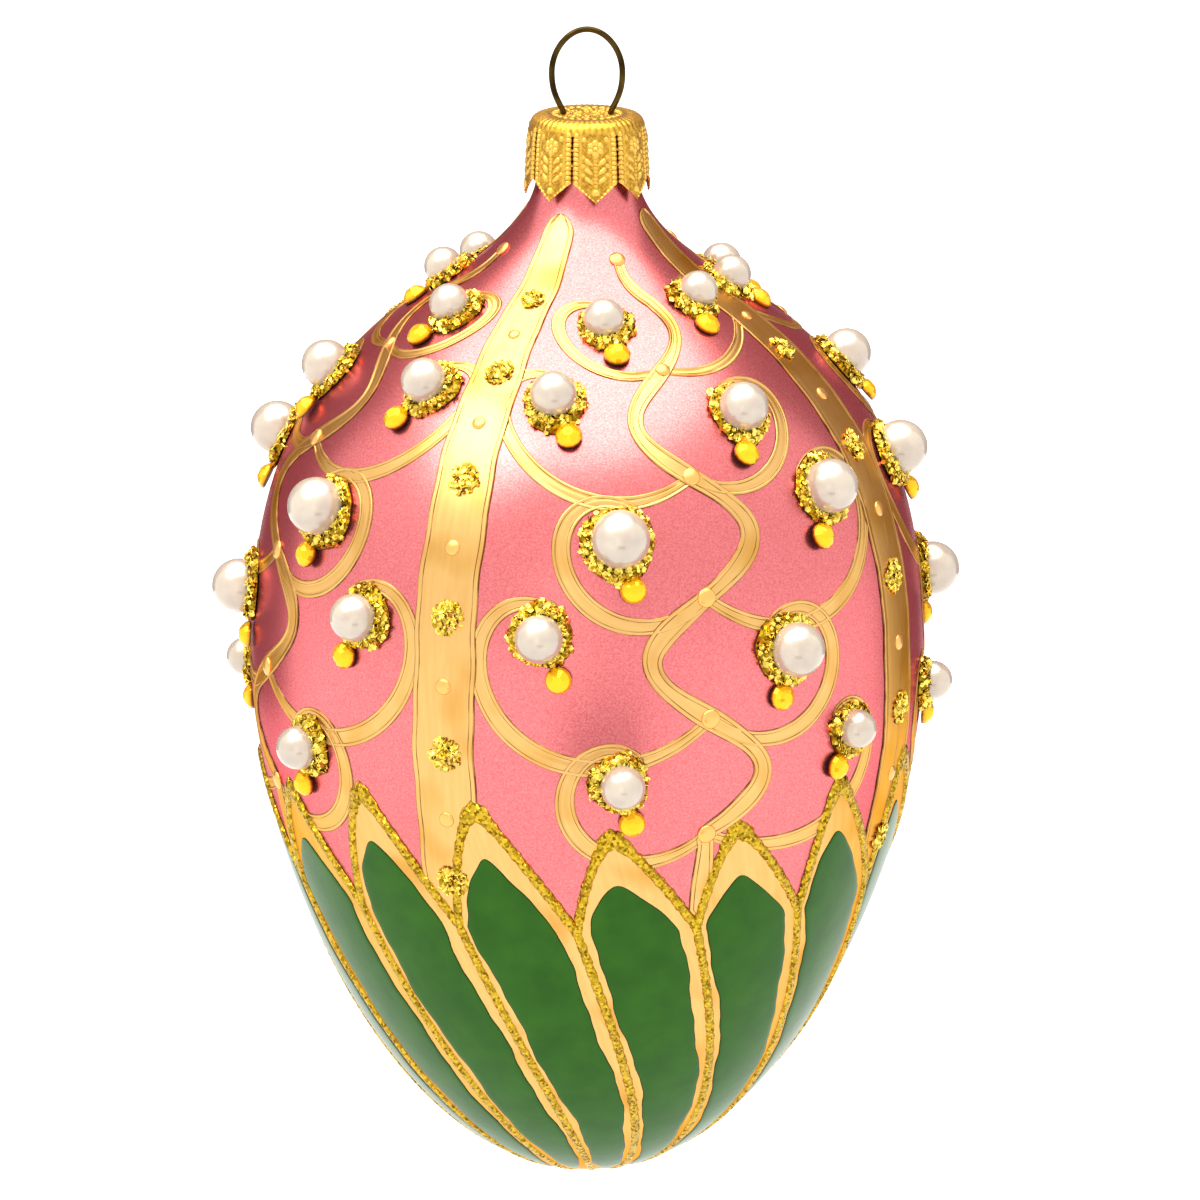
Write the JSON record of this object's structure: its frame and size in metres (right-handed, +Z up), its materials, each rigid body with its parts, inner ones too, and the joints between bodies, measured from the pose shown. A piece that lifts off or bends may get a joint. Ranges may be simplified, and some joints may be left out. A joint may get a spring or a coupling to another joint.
{
  "type": "jewelled egg ornament",
  "caption": "Hollow blown-glass egg ornament with painted bands, scrolls and leaves, glued pearls and stones, a metal crown cap and a wire loop to hang it by.",
  "frame": {"origin": "underside of the wire at the top of the hanging loop, where a hook bears", "axes": "+Z up along the egg's axis from its pointed end to the loop, -Y towards the viewer; the wire loop lies in the XZ plane"},
  "size_m": [0.089, 0.0876, 0.1384],
  "materials": {
    "pink_lacquer": "satin",
    "gold_metal": "polished",
    "brass_wire": "polished",
    "pearl": "gloss",
    "gold_glitter": "gloss",
    "amber": "gloss",
    "gold_paint": "satin",
    "green_enamel": "gloss"
  },
  "bodies": {
    "root": {"glass_egg": "pink_lacquer", "metal_cap": "gold_metal", "hanger_wire": "brass_wire", "pearl_jewel_01": "pearl", "pearl_jewel_02": "pearl", "pearl_jewel_03": "pearl", "pearl_jewel_04": "pearl", "pearl_jewel_05": "pearl", "pearl_jewel_06": "pearl", "pearl_jewel_07": "pearl", "pearl_jewel_08": "pearl", "pearl_jewel_09": "pearl", "pearl_jewel_10": "pearl", "pearl_jewel_11": "pearl", "pearl_jewel_12": "pearl", "pearl_jewel_13": "pearl", "pearl_jewel_14": "pearl", "pearl_jewel_15": "pearl", "pearl_jewel_16": "pearl", "pearl_jewel_17": "pearl", "pearl_jewel_18": "pearl", "pearl_jewel_19": "pearl", "pearl_jewel_20": "pearl", "pearl_jewel_21": "pearl", "pearl_jewel_22": "pearl", "pearl_jewel_23": "pearl", "pearl_jewel_24": "pearl", "pearl_jewel_25": "pearl", "pearl_jewel_26": "pearl", "pearl_jewel_27": "pearl", "pearl_jewel_28": "pearl", "pearl_jewel_29": "pearl", "pearl_jewel_30": "pearl", "pearl_jewel_31": "pearl", "pearl_jewel_32": "pearl", "pearl_jewel_33": "pearl", "pearl_jewel_34": "pearl", "pearl_jewel_35": "pearl", "pearl_jewel_36": "pearl", "pearl_jewel_37": "pearl", "pearl_jewel_38": "pearl", "pearl_jewel_39": "pearl", "pearl_jewel_40": "pearl"}
  },
  "joints": []
}
